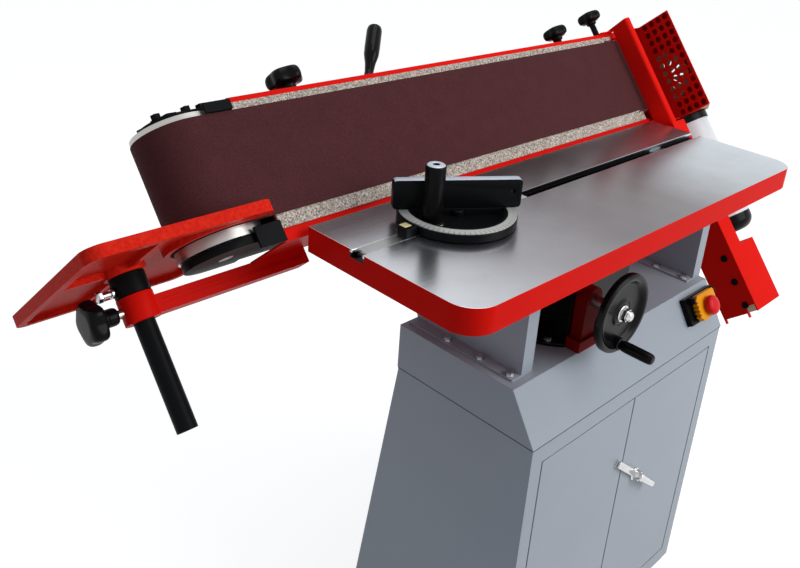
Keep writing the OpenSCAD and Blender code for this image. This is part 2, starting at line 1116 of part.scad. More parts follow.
// Sheet box that gathers the dust behind the grille and beside the drive drum.
// It is open to the left, to the outlet pipe below and to a round vent on the right.
module dust_hood() {
    skin = 2;
    color(cast_red)
        head()
            difference() {
                translate([0, 0, hood_low])
                    linear_extrude(frame_top - hood_low)
                        hood_outline(0);
                translate([0, 0, hood_low + skin])
                    linear_extrude(frame_top - hood_low - 2 * skin)
                        hood_outline(skin);
                block([490, -1, hood_low + skin], [grille_x, 128 - skin, frame_top - skin]);
                block([grille_x, -grille_out + 4, hood_low + skin],
                      [grille_x + 6, 128 - skin, frame_top - skin]);
                translate([port_x, port_y, hood_low - 1])
                    cylinder(r = port_r - port_wall, h = skin + 2);
                translate([hood_x - 10, vent_y, vent_z])
                    rod_x(vent_r, 20);
            }
}

// Pale outlet pipe below the hood, with a thick collar against its bottom plate.
module dust_port() {
    color(pipe_grey)
        head()
            translate([port_x, port_y, 0]) {
                translate([0, 0, hood_low - 16])
                    ring(port_r + 3, port_r - 1, 16);
                translate([0, 0, pipe_low])
                    ring(port_r, port_r - port_wall, hood_low - pipe_low);
            }
}

// Black rounded end piece in the mouth of the outlet pipe.
module outlet_spigot() {
    dome = 25;
    high = pipe_low - spigot_low;
    neck = port_r - port_wall - fit;
    color(tool_black)
        head()
            translate([port_x, port_y, spigot_low])
                rotate_extrude()
                    polygon(concat(
                        [for (a = [0 : 15 : 90]) [port_r - dome + dome * sin(a), dome - dome * cos(a)]],
                        [[port_r, high], [neck, high], [neck, high + 14], [neck - 3, high + 14]],
                        [[neck - 3, dome], [port_r - dome, 4]]
                    ));
}

// Chute below the stop: narrow above the notch and wide below it, open at both ends.
module dust_duct() {
    skin = 2.5;
    narrow = stop_x + 45;
    back = duct_half - skin;
    step = duct_notch - skin;
    color(cast_red)
        head()
            difference() {
                union() {
                    block([stop_x, -duct_half, duct_low], [stop_x + skin, duct_half, -48]);
                    block([stop_x, -duct_half, step], [narrow, -back, -48]);
                    block([stop_x, back, step], [narrow, duct_half, frame_low]);
                    block([narrow - skin, -duct_half, step], [narrow, duct_half, -48]);
                    block([narrow - skin, -duct_half, step], [duct_right, duct_half, duct_notch]);
                    for (y = [-duct_half, back])
                        block([stop_x, y, duct_low], [duct_right, y + skin, duct_notch]);
                    block([duct_right - skin, -duct_half, duct_low], [duct_right, duct_half, duct_notch]);
                    for (y = [-16.5, back])
                        block([stop_x, y, duct_low - 9], [stop_x + 7, y + skin, duct_low + 1]);
                }
                block([stop_x - 1, -back, duct_low - 1], [stop_x + skin + 1, -16.5, duct_low + 14]);
                block([stop_x - 1, wrap_r - cover_gap - 2, cover_low - 2],
                      [drive_x + cover_gap + 2, duct_half + 1, hood_low + 1]);
            }
}

// Controls on top of the head

// Star knob on a stem that reaches down through the sheet it stands on.
module knob_on_stem(at, base, down, rise, r, h) {
    head()
        translate([at[0], at[1], base]) {
            translate([0, 0, -down])
                cylinder(r = stem_r, h = down + rise);
            translate([0, 0, rise])
                lobed_knob(r, h);
        }
}

module tracking_knob() {
    color(tool_black)
        knob_on_stem(tracking_at, frame_top, 20, 13, 29, 25);
}

module stop_knob() {
    color(tool_black)
        knob_on_stem(stop_knob_at, frame_top, 20, 11, 24, 20);
}

module guard_knob() {
    color(tool_black)
        knob_on_stem(guard_knob_at, frame_top, 11, 34, 24, 20);
}

// Tapered grip on a flat arm that turns on a pin inside the frame.
module tension_lever() {
    color(tool_black)
        head()
            translate(lever_at)
                rotate([0, lever_lean, 0])
                    difference() {
                        union() {
                            block([-6, -3, 0], [6, 3, 70]);
                            translate([0, -3, 0])
                                rod_y(11, 6);
                            translate([0, 0, 67])
                                cylinder(r1 = 7.5, r2 = 12.3, h = 40);
                            translate([0, 0, 107])
                                cylinder(r = 12.3, h = 57);
                            translate([0, 0, 164])
                                cylinder(r1 = 12.3, r2 = 9.5, h = 4);
                        }
                        translate([0, -4, 0])
                            rod_y(5 + fit, 8);
                    }
}

// End table

// Arm under the idler with a split boss for the post.
module end_arm() {
    top = frame_low;
    color(cast_red)
        head()
            difference() {
                union() {
                    block([post_at[0], post_at[1] - 16, boss_low + 2],
                          [frame_left + 80, post_at[1] + 16, top]);
                    translate([post_at[0], post_at[1], boss_low])
                        cylinder(r = 23, h = collar_low - boss_low);
                }
                block([post_at[0] + 26, post_at[1] - 17, boss_low + 12],
                      [frame_left + 70, post_at[1] - 13, boss_low + 18]);
                translate([post_at[0], post_at[1], boss_low - 1])
                    cylinder(r = post_r + fit, h = 80);
                translate([post_at[0] - 40, post_at[1], -47])
                    rod_x(6 + fit, 30);
            }
}

module end_post() {
    color(tool_black)
        head()
            translate([post_at[0], post_at[1], 0]) {
                translate([0, 0, post_low])
                    cylinder(r = post_r, h = hub_low - post_low);
                translate([0, 0, collar_low + 0.3])
                    cylinder(r = 22.5, h = hub_low - collar_low - 0.3);
                translate([-40, 0, -19])
                    rod_x(4, 30);
                translate([-44, 0, -19])
                    rotate([0, 90, 0])
                        cylinder(r = 7.5, h = 6, $fn = 6);
            }
}

// Cast plate with a deep rim, ribs to a central hub and a mouth that clears the idler drum.
module end_table() {
    rim = 12;
    top_t = 8;
    low = end_top - end_rim;
    color(cast_red)
        head()
            translate([0, 0, low])
                difference() {
                    union() {
                        difference() {
                            translate([end_left, end_front, 0])
                                linear_extrude(end_rim)
                                    round_rect(end_len, end_dep, 22);
                            translate([end_left + rim, end_front + rim, -1])
                                linear_extrude(end_rim - top_t + 1)
                                    round_rect(end_len - 2 * rim, end_dep - 2 * rim, 12);
                        }
                        translate([idler_x, wrap_r, 0])
                            cylinder(r = wrap_r + 12, h = end_rim);
                        translate([idler_x, -12, 0])
                            cube([end_left + end_len - idler_x, 144, end_rim]);
                        translate([post_at[0], post_at[1], hub_low - low])
                            cylinder(r = 27, h = low - hub_low + end_rim - 1);
                        translate([end_left + 4, post_at[1] - 4, 0])
                            cube([90, 8, end_rim - 1]);
                        translate([post_at[0] - 4, end_front + 4, 0])
                            cube([8, end_dep - 8, end_rim - 1]);
                    }
                    translate([idler_x, wrap_r, -1])
                        cylinder(r = wrap_r + 3.5, h = end_rim + 2);
                    translate([idler_x, -3.5, -1])
                        cube([200, 2 * wrap_r + 7, end_rim + 2]);
                }
}

module end_knob() {
    color(tool_black)
        head()
            translate([post_at[0] - post_r - 0.3, post_at[1], -47])
                rotate([0, -90, 0]) {
                    cylinder(r = 6, h = 30);
                    translate([0, 0, 34])
                        lobed_knob(30, 24);
                }
}

cabinet_shell();
cabinet_hood();
cabinet_feet();
left_bracket();
right_bracket();
bracket_bolts();
hinge_pins();
left_door();
right_door();
door_latch();
latch_keeper();
switch_base();
switch_flap();
stop_button();
start_button();
column_housing();
wheel_bearing();
wheel_shaft();
handwheel();
hub_nut();
crank_handle();
table_column();
main_table();
mitre_bar();
mitre_body();
mitre_fence();
mitre_scale();
mitre_handle();
mitre_pointer();
pivot_pins();
head_frame();
platen();
sanding_belt();
end_blocks();
head_bolts();
idler_yoke();
idler_shaft();
idler_bearings();
idler_drum();
drive_bearings();
drive_shaft();
drive_drum();
v_belt();
motor_rotor();
motor_body();
drive_cover();
work_stop();
grille();
dust_hood();
dust_port();
outlet_spigot();
dust_duct();
tracking_knob();
tension_lever();
stop_knob();
guard_knob();
end_arm();
end_post();
end_table();
end_knob();
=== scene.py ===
import math

import bmesh
import bpy
from mathutils import Matrix, Vector


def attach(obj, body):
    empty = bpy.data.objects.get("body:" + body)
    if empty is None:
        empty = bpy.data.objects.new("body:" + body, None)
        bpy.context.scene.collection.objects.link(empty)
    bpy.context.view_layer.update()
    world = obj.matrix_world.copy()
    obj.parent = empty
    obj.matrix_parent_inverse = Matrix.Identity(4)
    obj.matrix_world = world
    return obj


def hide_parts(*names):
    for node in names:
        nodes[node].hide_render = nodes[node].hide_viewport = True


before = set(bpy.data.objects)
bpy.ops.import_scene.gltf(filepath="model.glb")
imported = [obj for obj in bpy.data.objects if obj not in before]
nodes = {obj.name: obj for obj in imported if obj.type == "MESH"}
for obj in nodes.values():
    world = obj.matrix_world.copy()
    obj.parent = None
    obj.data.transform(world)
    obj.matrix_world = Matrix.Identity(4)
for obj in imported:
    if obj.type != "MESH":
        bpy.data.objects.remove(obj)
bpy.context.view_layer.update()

# Camera.
# Stands left of and in front of the machine at about head height, rolled slightly.
# The shift puts the machine off centre in the frame.
right = Vector((0.68481, -0.72380, 0.08451))
down = Vector((-0.23863, -0.33232, -0.91248))
ahead = Vector((0.68854, 0.60471, -0.40030))
camera_data = bpy.data.cameras.new("camera")
camera_data.lens = 40.108
camera_data.sensor_width = 36
camera_data.shift_x = -0.0652
camera_data.shift_y = -0.0814
camera_data.clip_end = 50
camera = bpy.data.objects.new("camera", camera_data)
turn = Matrix((right, -down, -ahead)).transposed().to_4x4()
stand = Vector((-1.098, -0.720, 1.3027))
camera.matrix_world = Matrix.Translation(stand) @ turn
bpy.context.scene.collection.objects.link(camera)
bpy.context.scene.camera = camera
bpy.context.scene.view_settings.view_transform = "Standard"


# Studio.
# A pale floor that keeps the shadow, a white surround, a broad lamp at the front right and one above.
# The camera, mirrors and glass see the surround as white, while it lights the object much less.
def add(tree, kind, values=None, links=None, **settings):
    """Adds one node to a tree, with settings, socket values and incoming links."""
    node = tree.nodes.new(kind)
    for name, value in settings.items():
        setattr(node, name, value)
    for socket, value in (values or {}).items():
        node.inputs[socket].default_value = value
    for socket, source in (links or {}).items():
        tree.links.new(source, node.inputs[socket])
    return node


def linear(code):
    """Turns an sRGB hex colour into linear RGBA."""
    parts = [int(code[i:i + 2], 16) / 255 for i in (1, 3, 5)]
    return [p / 12.92 if p <= 0.04045 else ((p + 0.055) / 1.055) ** 2.4 for p in parts] + [1.0]


def sees_white(tree):
    """Gives 1 to the rays that should find a white studio: those of the camera, of mirrors and of glass."""
    path = add(tree, "ShaderNodeLightPath").outputs
    direct = add(tree, "ShaderNodeMath", {}, {0: path["Is Camera Ray"], 1: path["Is Glossy Ray"]},
                 operation="MAXIMUM")
    both = add(tree, "ShaderNodeMath", {}, {0: direct.outputs[0], 1: path["Is Transmission Ray"]},
               operation="MAXIMUM")
    return both.outputs[0]


world = bpy.data.worlds.new("studio_surround")
world.use_nodes = True
tree = world.node_tree
tree.nodes.clear()
sky = add(tree, "ShaderNodeMix", {"A": linear("#989FA8"), "B": linear("#FFFFFF")},
          {"Factor": sees_white(tree)}, data_type="RGBA")
surround = add(tree, "ShaderNodeBackground", {}, {"Color": sky.outputs["Result"]})
add(tree, "ShaderNodeOutputWorld", {}, {"Surface": surround.outputs[0]})
bpy.context.scene.world = world

# Matt pale floor: it catches a soft grey shadow, and its own glow lifts the rest of it to white.
floor_half = 12
floor_glow = 0.8
floor_paint = bpy.data.materials.new("pale_studio_floor")
floor_paint.use_nodes = True
tree = floor_paint.node_tree
shader = tree.nodes["Principled BSDF"]
shader.inputs["Base Color"].default_value = linear("#A9A9A9")
shader.inputs["Roughness"].default_value = 0.9
shader.inputs["Emission Color"].default_value = linear("#FFFFFF")
glow = add(tree, "ShaderNodeMath", {1: floor_glow}, {0: sees_white(tree)}, operation="MULTIPLY")
tree.links.new(glow.outputs[0], shader.inputs["Emission Strength"])
floor_mesh = bpy.data.meshes.new("studio_floor")
bm = bmesh.new()
bmesh.ops.create_grid(bm, x_segments=1, y_segments=1, size=floor_half)
bm.to_mesh(floor_mesh)
bm.free()
floor_mesh.materials.append(floor_paint)
floor = bpy.data.objects.new("studio_floor", floor_mesh)
bpy.context.scene.collection.objects.link(floor)

for name, place, aim, size, power in [
    ("front_lamp", (1.2, -2.8, 2.4), (0.0, 0.0, 0.7), 2.4, 84),
    ("top_lamp", (0.4, 0.2, 3.4), (0.1, 0.1, 0.8), 1.6, 20),
]:
    lamp_data = bpy.data.lights.new(name, "AREA")
    lamp_data.size = size
    lamp_data.energy = power
    lamp = bpy.data.objects.new(name, lamp_data)
    lamp.location = place
    lamp.rotation_mode = "QUATERNION"
    lamp.rotation_quaternion = (Vector(aim) - Vector(place)).to_track_quat("-Z", "Y")
    bpy.context.scene.collection.objects.link(lamp)


# Cabinet: shell, hood, feet, doors and the two standing brackets.
# Folded steel sheet, welded, then powder coated in a blue-grey with a fine orange peel.
# The doors hang on hidden pins and close flush with the front; the brackets are bolted to the top.
def blank(name, rough=0.5, shine=0.5):
    """Starts a material and gives it with its node tree, its shader and its object coordinates."""
    material = bpy.data.materials.new(name)
    material.use_nodes = True
    tree = material.node_tree
    shader = tree.nodes["Principled BSDF"]
    shader.inputs["Roughness"].default_value = rough
    shader.inputs["Specular IOR Level"].default_value = shine
    return material, tree, shader, add(tree, "ShaderNodeTexCoord").outputs["Object"]


def finish(name, light, dark, patch, rough, grain, depth, metal=0.0, shine=0.5):
    """Material that drifts between two tones over patches, with a fine grain in its skin. Sizes in mm."""
    material, tree, shader, spot = blank(name, rough, shine)
    cloud = add(tree, "ShaderNodeTexNoise", {"Scale": 1000 / patch, "Detail": 4.0}, {"Vector": spot})
    tone = add(tree, "ShaderNodeMix", {"A": linear(light), "B": linear(dark)},
               {"Factor": cloud.outputs["Fac"]}, data_type="RGBA")
    skin = add(tree, "ShaderNodeTexNoise", {"Scale": 1000 / grain, "Detail": 2.0}, {"Vector": spot})
    gloss = add(tree, "ShaderNodeMapRange", {"To Min": rough * 0.75, "To Max": rough * 1.25},
                {"Value": skin.outputs["Fac"]})
    bump = add(tree, "ShaderNodeBump", {"Strength": 0.5, "Distance": depth / 1000},
               {"Height": skin.outputs["Fac"]})
    tree.links.new(tone.outputs["Result"], shader.inputs["Base Color"])
    tree.links.new(gloss.outputs[0], shader.inputs["Roughness"])
    tree.links.new(bump.outputs[0], shader.inputs["Normal"])
    shader.inputs["Metallic"].default_value = metal
    return material


def wear(material, *names):
    """Gives CAD nodes this material."""
    for name in names:
        mesh = nodes[name].data
        mesh.materials.clear()
        mesh.materials.append(material)


def soften(width, *names):
    """Rounds the sharp edges of CAD nodes by this many millimetres, after welding their triangles."""
    for name in names:
        weld = nodes[name].modifiers.new("weld", "WELD")
        weld.merge_threshold = 0.00002
        flat = nodes[name].modifiers.new("flat", "DECIMATE")
        flat.decimate_type = "DISSOLVE"
        flat.angle_limit = math.radians(0.5)
        bevel = nodes[name].modifiers.new("edge", "BEVEL")
        bevel.width = width / 1000
        bevel.segments = 3
        bevel.limit_method = "ANGLE"
        bevel.angle_limit = math.radians(35)
        bevel.harden_normals = True


def shift(x, y, z):
    """Matrix that moves by this many millimetres."""
    return Matrix.Translation(Vector((x, y, z)) / 1000)


def rectangle(left, low, right, high):
    """Corners of a rectangle, from the lower left one round to the upper left one."""
    return [(left, low), (right, low), (right, high), (left, high)]


def join(bm, fresh, place):
    """Adds one finished form to a mesh that is still growing."""
    bmesh.ops.recalc_face_normals(fresh, faces=fresh.faces)
    fresh.transform(place)
    spare = bpy.data.meshes.new("spare")
    fresh.to_mesh(spare)
    fresh.free()
    bm.from_mesh(spare)
    bpy.data.meshes.remove(spare)


def slab(bm, outline, low, high, edge, place=Matrix.Identity(4), hole=()):
    """Fills an outline in X and Y around an optional hole, extrudes it and rounds its rims."""
    fresh = bmesh.new()
    rim = []
    for loop in filter(None, (outline, hole)):
        points = [fresh.verts.new((x, y, low)) for x, y in loop]
        rim += [fresh.edges.new((points[i - 1], points[i])) for i in range(len(points))]
    bmesh.ops.triangle_fill(fresh, edges=rim, use_beauty=True)
    grown = bmesh.ops.extrude_face_region(fresh, geom=fresh.faces[:], use_keep_orig=True)["geom"]
    raised = [item for item in grown if isinstance(item, bmesh.types.BMVert)]
    bmesh.ops.translate(fresh, verts=raised, vec=(0, 0, high - low))
    bmesh.ops.recalc_face_normals(fresh, faces=fresh.faces)
    bmesh.ops.dissolve_limit(fresh, angle_limit=0.001, verts=fresh.verts, edges=fresh.edges)
    sharp = [e for e in fresh.edges
             if abs(e.verts[0].co.z - e.verts[1].co.z) < 0.001 and e.calc_face_angle(0) > 1]
    bmesh.ops.bevel(fresh, geom=sharp, offset=edge, offset_type="OFFSET", affect="EDGES", segments=3,
                    profile=0.5, material=-1, clamp_overlap=True)
    join(bm, fresh, place)


def piece(name, bm, place, material, body, slot, *stands_for, accent=None, where=None):
    """Turns a mesh drawn in millimetres into an object; faces that pass the test get the accent."""
    mesh = bpy.data.meshes.new(name)
    if accent:
        for face in bm.faces:
            face.material_index = int(where(face.calc_center_median(), face.normal))
    bm.transform(place @ Matrix.Scale(0.001, 4))
    bm.to_mesh(mesh)
    bm.free()
    mesh.shade_smooth()
    crease = math.radians(38)
    mesh.set_sharp_from_angle(angle=crease)
    mesh.materials.append(material)
    if accent:
        mesh.materials.append(accent)
    made = bpy.data.objects.new(name, mesh)
    bpy.context.scene.collection.objects.link(made)
    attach(made, body)
    if stands_for:
        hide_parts(*stands_for)
    return made


# Powder coat: an even blue-grey with a soft sheen, broken by the orange peel close up.
powder_coat = finish("grey_powder_coat", "#A3AAB3", "#99A1AA", 160, 0.42, 1.6, 0.05, shine=0.35)
wear(powder_coat, "cabinet_shell", "cabinet_hood", "cabinet_feet", "left_door", "right_door",
     "left_bracket", "right_bracket")
soften(1.2, "cabinet_shell", "cabinet_feet", "left_door", "right_door")
soften(1.9, "cabinet_hood", "left_bracket", "right_bracket")

# Zinc plate: a cool pale metal, slightly cloudy, with small bright glints on its corners.
zinc = finish("bright_zinc_plate", "#C9CCD0", "#B4B7BC", 9, 0.24, 0.7, 0.01, metal=1.0)
# Turned steel: a neutral bare metal whose sheen is broken by fine tool marks.
bright_steel = finish("turned_bright_steel", "#C6C7C9", "#AEB0B3", 14, 0.28, 0.5, 0.01, metal=1.0)
wear(zinc, "bracket_bolts")
soften(0.5, "bracket_bolts")
wear(bright_steel, "hinge_pins")

# Rubber: a dull near-black that swallows the light.
rubber = finish("black_belt_rubber", "#1D1D1E", "#141415", 18, 0.7, 0.8, 0.03, shine=0.2)
# A thin band of black rubber, proud of the shell just under the hood, is painted shade along the seam.
shell_half = 265
shell_front = -173
shell_back = 93
proud = 0.7
sunk = 1
shade_band_low = 538.2
shade_band_thick = 1.7
bm = bmesh.new()
slab(bm, rectangle(-shell_half - proud, shell_front - proud, shell_half + proud, shell_back + proud),
     shade_band_low, shade_band_low + shade_band_thick, 0.2,
     hole=rectangle(-shell_half + sunk, shell_front + sunk, shell_half - sunk, shell_back - sunk))
piece("seam_shade_band", bm, Matrix.Identity(4), rubber, "base", "belt_rubber")


# Door latch.
# Chromed turn handle: a round bar on a turned boss over a thin rosette.
# Its flat tail laps the left door and rests there on a small chromed rub plate.
def rounded(corners, radius, closed=False, steps=4):
    """Replaces each corner of a polyline by an arc of about this radius."""
    nearly_half = 0.48
    points = []
    for i, corner in enumerate(corners):
        here = Vector(corner)
        if not closed and i in (0, len(corners) - 1):
            points.append(here)
            continue
        before = Vector(corners[i - 1]) - here
        after = Vector(corners[(i + 1) % len(corners)]) - here
        reach = min(radius, before.length * nearly_half, after.length * nearly_half)
        start = here + before.normalized() * reach
        end = here + after.normalized() * reach
        for k in range(steps + 1):
            t = k / steps
            points.append(start * (1 - t) ** 2 + here * 2 * t * (1 - t) + end * t ** 2)
    return points


def turned(bm, profile, steps=48, place=Matrix.Identity(4), sweep=math.tau):
    """Spins a profile of radius and height about Z and closes the ends of a part turn."""
    fresh = bmesh.new()
    points = [fresh.verts.new((r, 0, z)) for r, z in profile]
    lines = [fresh.edges.new(pair) for pair in zip(points, points[1:])]
    whole = sweep == math.tau
    bmesh.ops.spin(fresh, geom=points + lines, axis=(0, 0, 1), cent=(0, 0, 0), angle=sweep, steps=steps,
                   use_merge=whole)
    bmesh.ops.remove_doubles(fresh, verts=fresh.verts, dist=0.0005)
    if not whole:
        bmesh.ops.holes_fill(fresh, edges=[e for e in fresh.edges if e.is_boundary], sides=0)
    join(bm, fresh, place)


# Chrome plate: a hard mirror that takes in the white studio and the dark machine in streaks.
chrome = finish("polished_chrome_plate", "#D2D3D6", "#BFBEBA", 12, 0.1, 0.8, 0.004, metal=1.0)
to_front = Matrix.Rotation(math.radians(90), 4, "X")
lean = Matrix.Rotation(math.radians(-40), 4, "Z")
to_right = Matrix.Rotation(math.radians(90), 4, "Y")
bar_r = 6.5
bar_out = 13
bm = bmesh.new()
turned(bm, rounded(rectangle(0, -8, 7, 17), 1.5))
turned(bm, rounded(rectangle(7, -6, 11, -3), 0.5))
turned(bm, rounded([(0, 0.3), (12, 0.3), (12, 2), (9.5, 3.2), (8.5, 12), (0, 12)], 1))
turned(bm, rounded(rectangle(0, -8, bar_r, 60), 2.5), 32,
       Matrix.Translation((0, 0, bar_out)) @ lean @ to_right)
slab(bm, rounded(rectangle(-92, -6, 0, 6), 4, True), 3.3, 7, 0.8, lean)
latch_place = shift(50, shell_front, 331) @ to_front
piece("latch_handle", bm, latch_place, chrome, "latch", "chrome_plate", "door_latch")
wear(chrome, "latch_keeper")
soften(0.6, "latch_keeper")


# Switch.
# Black moulded base screwed to the sloping panel, under a hinged yellow flap with a scalloped left edge.
# A red mushroom on the flap presses the stop; the green start button lies under the flap.
panel_run = 47
panel_rise = 75
panel_lean = Matrix.Rotation(-math.atan2(panel_run, panel_rise), 4, "X")
on_panel = shift(0, -174.5, 540) @ panel_lean @ to_front
# Moulded plastic: a deep black with a soft lustre and small sharp lights on its curves.
moulded_black = finish("moulded_black_plastic", "#0E0E0F", "#09090A", 30, 0.26, 0.9, 0.015, shine=0.07)
wear(moulded_black, "switch_base")
soften(1.6, "switch_base")

# Yellow plastic: warm and even, with a light moulding grain.
yellow_abs = finish("yellow_moulded_abs", "#F4A010", "#EA920A", 22, 0.3, 0.8, 0.015, shine=0.1)
flap_low = 33
flap_high = 77
flap_right = 243
stop_at = (214, 52)
scallops = 5
scallop_x = 185.5
scallop_out = 4
scallop_end = 4
scallop_points = scallops * 8
left_edge = []
for k in range(scallop_points + 1):
    share = k / scallop_points
    swell = abs(math.sin(math.pi * scallops * share))
    drop = (flap_high - flap_low - 2 * scallop_end) * share
    left_edge.append((scallop_x - scallop_out * swell, flap_high - scallop_end - drop))
right_edge = rounded(rectangle(188, flap_low, flap_right, flap_high), 6)


def ring(radius, count, x=0, y=0):
    """Points of a circle about x and y."""
    turns = [k * math.tau / count for k in range(count)]
    return [(x + radius * math.cos(turn), y + radius * math.sin(turn)) for turn in turns]


bm = bmesh.new()
slab(bm, left_edge + [tuple(point) for point in right_edge], 13, 23, 1.4, hole=ring(9.2, 40, *stop_at))
piece("guard_flap", bm, on_panel, yellow_abs, "flap", "yellow_plastic", "switch_flap")

# Red plastic: a clear signal red, smooth enough for one soft highlight.
red_abs = finish("red_moulded_abs", "#E41C22", "#D6161C", 18, 0.22, 0.9, 0.01, shine=0.1)
mushroom = [(0, 14), (9, 14), (9, 26), (15.8, 26), (17, 28), (17, 31.5), (15.6, 34.8), (11.5, 37), (6, 37.8),
            (0, 38)]
bm = bmesh.new()
turned(bm, rounded(mushroom, 1.5))
piece("stop_mushroom", bm, on_panel @ shift(*stop_at, 0), red_abs, "stop_button", "red_plastic",
      "stop_button")

# Green plastic: the same moulding in a mid green.
green_abs = finish("green_moulded_abs", "#2E8E4B", "#278243", 12, 0.3, 0.8, 0.01, shine=0.3)
wear(green_abs, "start_button")
soften(0.8, "start_button")


# Height drive.
# Black enamelled cast housing with a red pedestal bearing, and a dished black handwheel on the pinion shaft.
# A chromed washer and cap nut hold the wheel; a black grip turns on its crank pin.

# Enamelled iron: a glossy black with the faint waviness of a casting under it.
black_enamel = finish("black_enamelled_iron", "#0C0C0E", "#08080A", 60, 0.26, 2.2, 0.05, shine=0.12)
wear(black_enamel, "column_housing")
soften(2.5, "column_housing")

# Gloss paint: a saturated red that goes deep in the shade and shows a slight orange peel.
red_light = "#E6190F"
red_dark = "#DA130B"
red_rough = 0.42
red_shine = 0.03
red_paint = finish("red_gloss_paint", red_light, red_dark, 120, red_rough, 2.4, 0.04, shine=red_shine)
# Shaded red: the same red painted dark as painted shade for the pedestal under the table, dull over rough
# iron.
red_painted_shade = finish("red_paint_with_painted_shade", "#8A130D", "#700F0A", 50, 0.5, 2.2, 0.06, shine=0.03)
wear(red_painted_shade, "wheel_bearing")
soften(2.0, "wheel_bearing")
wear(bright_steel, "wheel_shaft", "table_column")

wheel_place = shift(-91, -172, 693) @ to_front
wheel_r = 61
crank_down = -49
on_crank = Matrix.Translation((0, crank_down, 0))
rim = [(9, -23), (17, -23), (17, -6), (47, -6), (51, -6.5), (wheel_r - 2, -6.5), (wheel_r, -4), (wheel_r, 4),
       (wheel_r - 2.5, 6.5), (53, 6.5), (50, 4.5), (45, -1.5), (22, -1.5), (17, 1), (9, 1), (9, -23)]
bm = bmesh.new()
turned(bm, rounded(rim, 2.2), 96)
turned(bm, rounded([(0, -5.5), (10, -5.5), (10, 7), (8.5, 8.5), (0, 8.5)], 1.5), 32, on_crank)
piece("dished_handwheel", bm, wheel_place, black_enamel, "wheel", "black_iron", "handwheel")
bm = bmesh.new()
turned(bm, rounded(rectangle(0, 4, 4, 54), 0.6), 24, on_crank)
piece("crank_pin", bm, wheel_place, bright_steel, "wheel", "bright_steel")

bm = bmesh.new()
turned(bm, rounded([(6.2, 1), (13, 1), (13, 3), (11.5, 3.8), (6.2, 3.8), (6.2, 1)], 0.7))
slab(bm, ring(10, 6), 3.5, 11.5, 0.9)
turned(bm, rounded([(0, 11), (8.4, 11), (8, 14), (5.5, 17.4), (0, 18.5)], 2.5))
piece("cap_nut", bm, wheel_place, chrome, "wheel", "zinc_plated", "hub_nut")

grip = [(4.2, 9), (7, 9), (8, 12), (8.5, 20), (8.5, 50), (8.2, 57), (6.8, 61.5), (0, 62), (0, 55), (4.2, 55),
        (4.2, 9)]
bm = bmesh.new()
turned(bm, rounded(grip, 2), 40)
piece("crank_grip", bm, wheel_place @ shift(0, crank_down, 0), moulded_black, "crank", "black_plastic",
      "crank_handle")


# Table.
# Grey iron casting, painted red on its rim and underside; the top is ground bare with lines along its length.
# A slot for the mitre gauge runs from end to end.
def ramp(tree, source, *stops):
    """Colour ramp over a value, from pairs of a place between 0 and 1 and a hex colour."""
    node = add(tree, "ShaderNodeValToRGB", {}, {0: source})
    marks = node.color_ramp.elements
    marks[0].color = linear(stops[0][1])
    marks[1].color = linear(stops[-1][1])
    for share, code in stops[1:-1]:
        marks.new(share).color = linear(code)
    return node


# Places on the table that the finish tells apart, in metres.
table_half = 0.425
slot_y = 0.023
slot_half = 0.0135
slot_floor = 0.799
slot_shade_top = 0.8062
patch_x = 0.3
patch_half = 0.019
# Ground iron: a blurred mirror with fine lines; its colour carries a painted reflection, dull in the middle
# and bright towards both ends.
# The slot is darkened with painted shade but for one bare patch, and the rim below the top has the machine's
# red.
ground_iron, tree, paint, spot = blank("ground_iron_with_red_rim", red_rough, red_shine)
cloud = add(tree, "ShaderNodeTexNoise", {"Scale": 1 / 0.12, "Detail": 4.0}, {"Vector": spot})
tone = add(tree, "ShaderNodeMix", {"A": linear(red_light), "B": linear(red_dark)},
           {"Factor": cloud.outputs["Fac"]}, data_type="RGBA")
peel = add(tree, "ShaderNodeTexNoise", {"Scale": 1 / 0.0024, "Detail": 2.0}, {"Vector": spot})
skin = add(tree, "ShaderNodeBump", {"Strength": 0.5, "Distance": 0.00004}, {"Height": peel.outputs["Fac"]})
tree.links.new(tone.outputs["Result"], paint.inputs["Base Color"])
tree.links.new(skin.outputs[0], paint.inputs["Normal"])
iron = add(tree, "ShaderNodeBsdfPrincipled", {"Metallic": 1.0})
stretch = add(tree, "ShaderNodeMapping", {"Scale": (1 / 0.18, 1 / 0.0011, 1.0)}, {"Vector": spot})
lines = add(tree, "ShaderNodeTexNoise", {"Scale": 1.0, "Detail": 3.0}, {"Vector": stretch.outputs[0]})
mottle = add(tree, "ShaderNodeTexNoise", {"Scale": 1 / 0.05, "Detail": 5.0}, {"Vector": spot})
where = add(tree, "ShaderNodeSeparateXYZ", {}, {0: spot})
along = add(tree, "ShaderNodeMapRange", {"From Min": -table_half, "From Max": table_half},
            {"Value": where.outputs["X"]})
# Painted reflection along the table's length: dull in the middle, bright and a little cool towards both ends.
painted_reflection = ramp(tree, along.outputs[0], (0, "#CDD1D7"), (0.18, "#A09FA5"), (0.4, "#7A767A"), (0.6, "#807D80"),
              (0.8, "#B7BEC5"), (1, "#C8D1D8"))
cast = add(tree, "ShaderNodeMapRange", {"To Min": 0.88, "To Max": 1.1}, {"Value": mottle.outputs["Fac"]})
bare = add(tree, "ShaderNodeVectorMath", {}, {0: painted_reflection.outputs[0], 1: cast.outputs[0]}, operation="MULTIPLY")
sheen = add(tree, "ShaderNodeMapRange", {"To Min": 0.17, "To Max": 0.29}, {"Value": lines.outputs["Fac"]})
groove = add(tree, "ShaderNodeBump", {"Strength": 0.3, "Distance": 0.00002}, {"Height": lines.outputs["Fac"]})
tree.links.new(sheen.outputs[0], iron.inputs["Roughness"])
tree.links.new(groove.outputs[0], iron.inputs["Normal"])
slope = add(tree, "ShaderNodeSeparateXYZ", {}, {0: add(tree, "ShaderNodeNewGeometry").outputs["True Normal"]})
